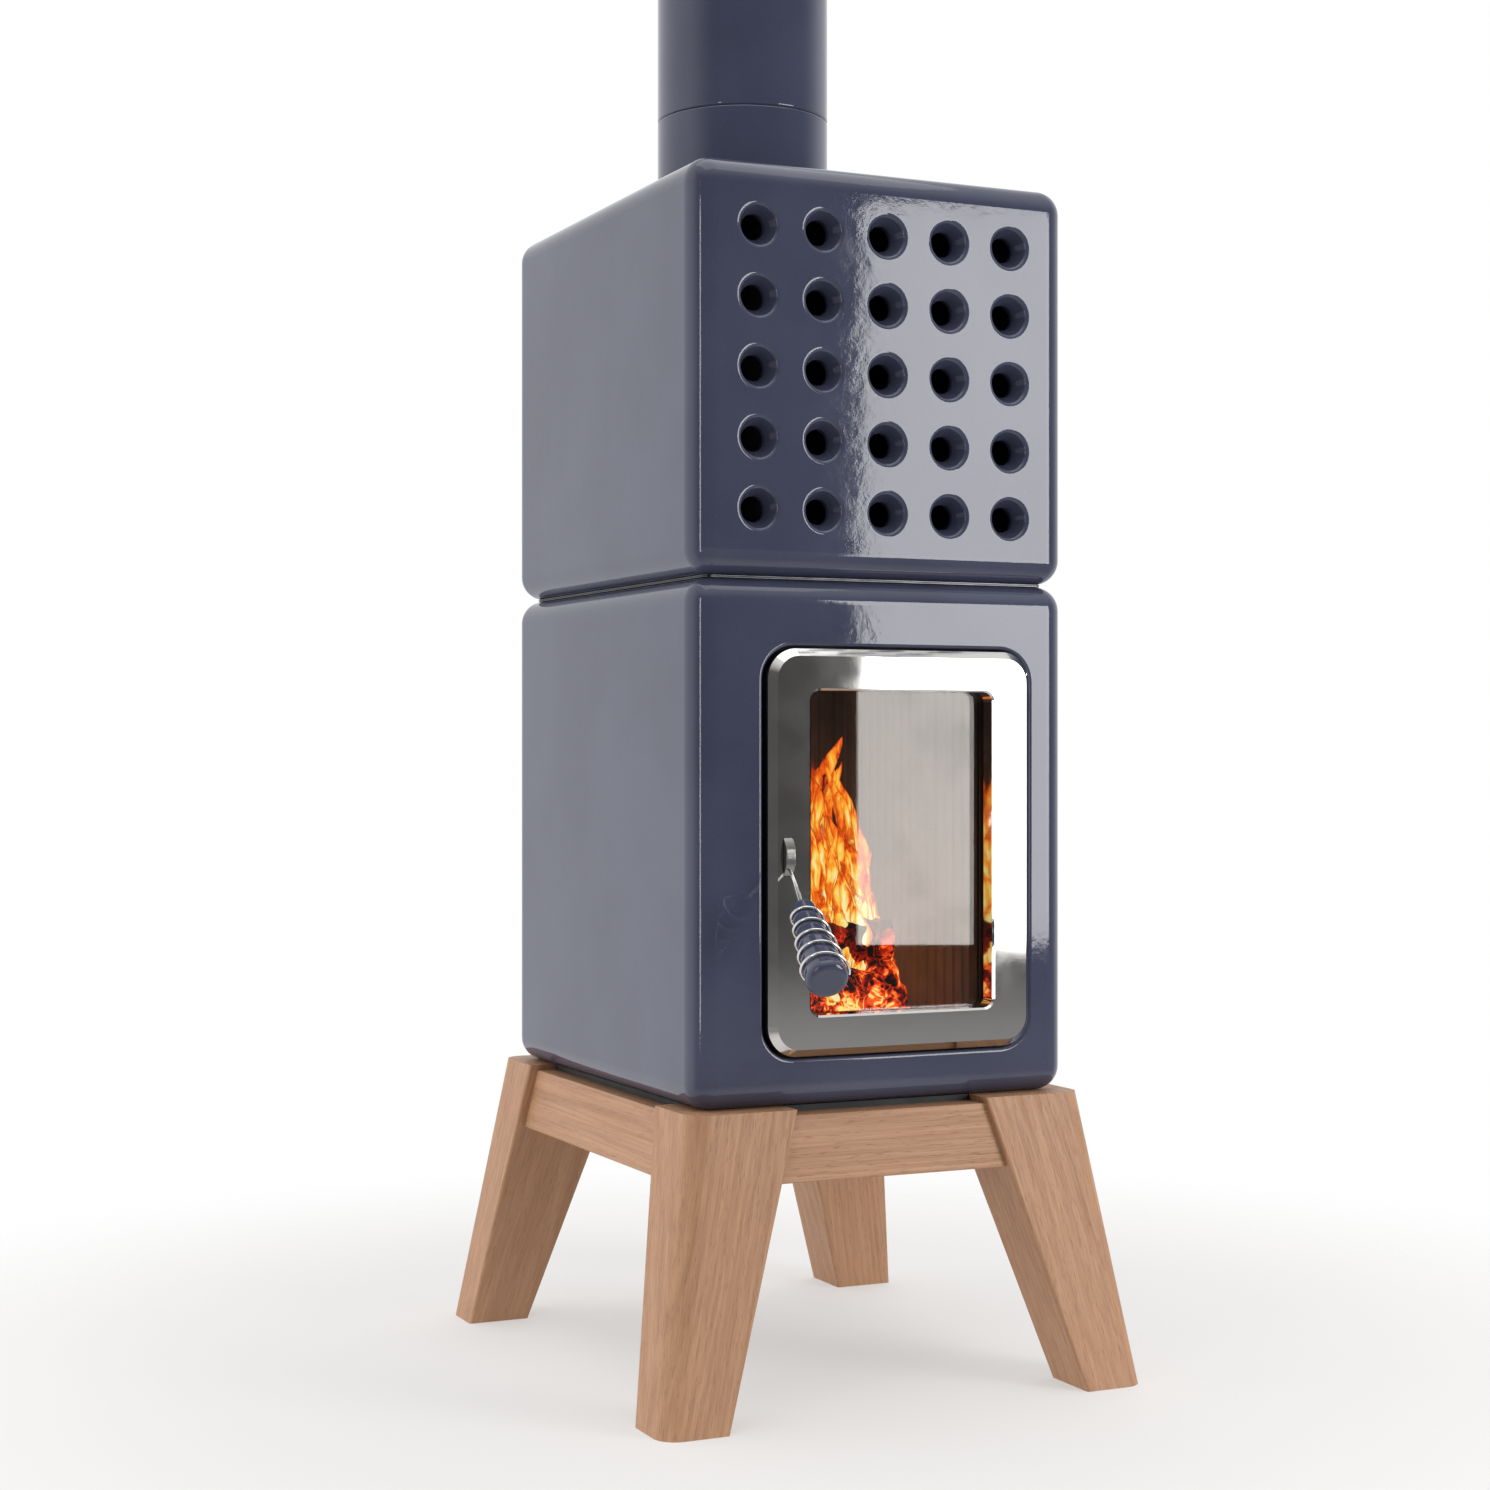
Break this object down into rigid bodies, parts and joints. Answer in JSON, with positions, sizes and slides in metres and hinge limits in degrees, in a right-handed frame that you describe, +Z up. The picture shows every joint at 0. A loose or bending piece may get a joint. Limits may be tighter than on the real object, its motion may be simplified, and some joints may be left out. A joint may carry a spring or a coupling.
{
  "type": "wood burning stove",
  "caption": "Upright stove: two glazed ceramic modules with a field of hot-air holes, a framed glass door with a wire-wound handle, a ceramic flue and a splayed wooden stand.",
  "frame": {"origin": "on the floor, under the middle of the bounding box: on the stove's left-right centre line and 192 mm behind the ceramic's front face", "axes": "+Z up; -Y is the front, where the door is; +X is to the right as seen from the front"},
  "size_m": [0.524, 0.7182, 1.636],
  "materials": {
    "oiled_wood": "oiled light brown hardwood, grain along each piece",
    "glazed_ceramic": "opaque slate-blue glossy glaze on fired ceramic",
    "glazed_flue": "opaque slate-blue glossy glaze on fired ceramic",
    "polished_metal": "polished nickel",
    "bright_wire": "polished stainless wire",
    "black_steel": "matt heat-proof black",
    "raw_steel": "plain steel",
    "stove_glass": "clear glass-ceramic",
    "refractory": "fluted refractory board, browned by smoke",
    "rope_seal": "graphite glass-fibre rope",
    "cast_iron": "as cast",
    "mat": "heat-proof fibre mat"
  },
  "bodies": {
    "stove": {"air_duct": "black_steel", "ash_pan": "black_steel", "baffle_plate": "refractory", "base_plate": "black_steel", "base_plate_screws": "raw_steel", "firebox_front_frame": "black_steel", "firebox_shell": "black_steel", "firebox_supports": "black_steel", "flue_centring_rings": "raw_steel", "flue_tube_lower": "glazed_flue", "flue_tube_upper": "glazed_flue", "grate": "cast_iron", "hinge_bracket_lower": "black_steel", "hinge_bracket_upper": "black_steel", "leg_back_left": "oiled_wood", "leg_back_right": "oiled_wood", "leg_front_left": "oiled_wood", "leg_front_right": "oiled_wood", "lining_back_lower": "refractory", "lining_back_upper": "refractory", "lining_floor": "refractory", "lining_left_lower": "refractory", "lining_left_upper": "refractory", "lining_right_lower": "refractory", "lining_right_upper": "refractory", "lower_ceramic_body": "glazed_ceramic", "rail_back": "oiled_wood", "rail_front": "oiled_wood", "rail_left": "oiled_wood", "rail_right": "oiled_wood", "seam_mat": "mat", "seam_plate_lower": "raw_steel", "seam_plate_upper": "raw_steel", "shutter_guides": "black_steel", "smoke_collar": "black_steel", "smoke_pipe": "black_steel", "strike_plate": "raw_steel", "strike_pocket": "black_steel", "upper_ceramic_body": "glazed_ceramic"},
    "door": {"door_frame": "polished_metal", "door_glass": "stove_glass", "glass_gasket_front": "rope_seal", "glass_gasket_back": "rope_seal", "door_back_frame": "black_steel", "door_back_screws": "raw_steel", "door_seal": "rope_seal", "hinge_pins": "raw_steel", "latch_axle": "raw_steel", "latch_cheeks": "raw_steel"},
    "handle": {"latch_wheel": "polished_metal", "latch_cam": "raw_steel", "handle_wires": "bright_wire", "handle_grip": "glazed_ceramic", "handle_coil": "bright_wire"},
    "air_control": {"air_shutter": "black_steel", "air_rod": "raw_steel", "air_knob": "polished_metal"}
  },
  "joints": [
    {"name": "door_hinge", "type": "hinge", "parent": "stove", "child": "door", "pos_m": [0.147, -0.192, 0.535], "axis": [0, 0, 1], "range_deg": [0, 92]},
    {"name": "handle_turn", "type": "hinge", "parent": "door", "child": "handle", "pos_m": [-0.1129, -0.1845, 0.5311], "axis": [-1, 0, 0], "range_deg": [0, 55]},
    {"name": "air_slide", "type": "slide", "parent": "stove", "child": "air_control", "axis": [1, 0, 0], "range_m": [0, 0.044]}
  ]
}
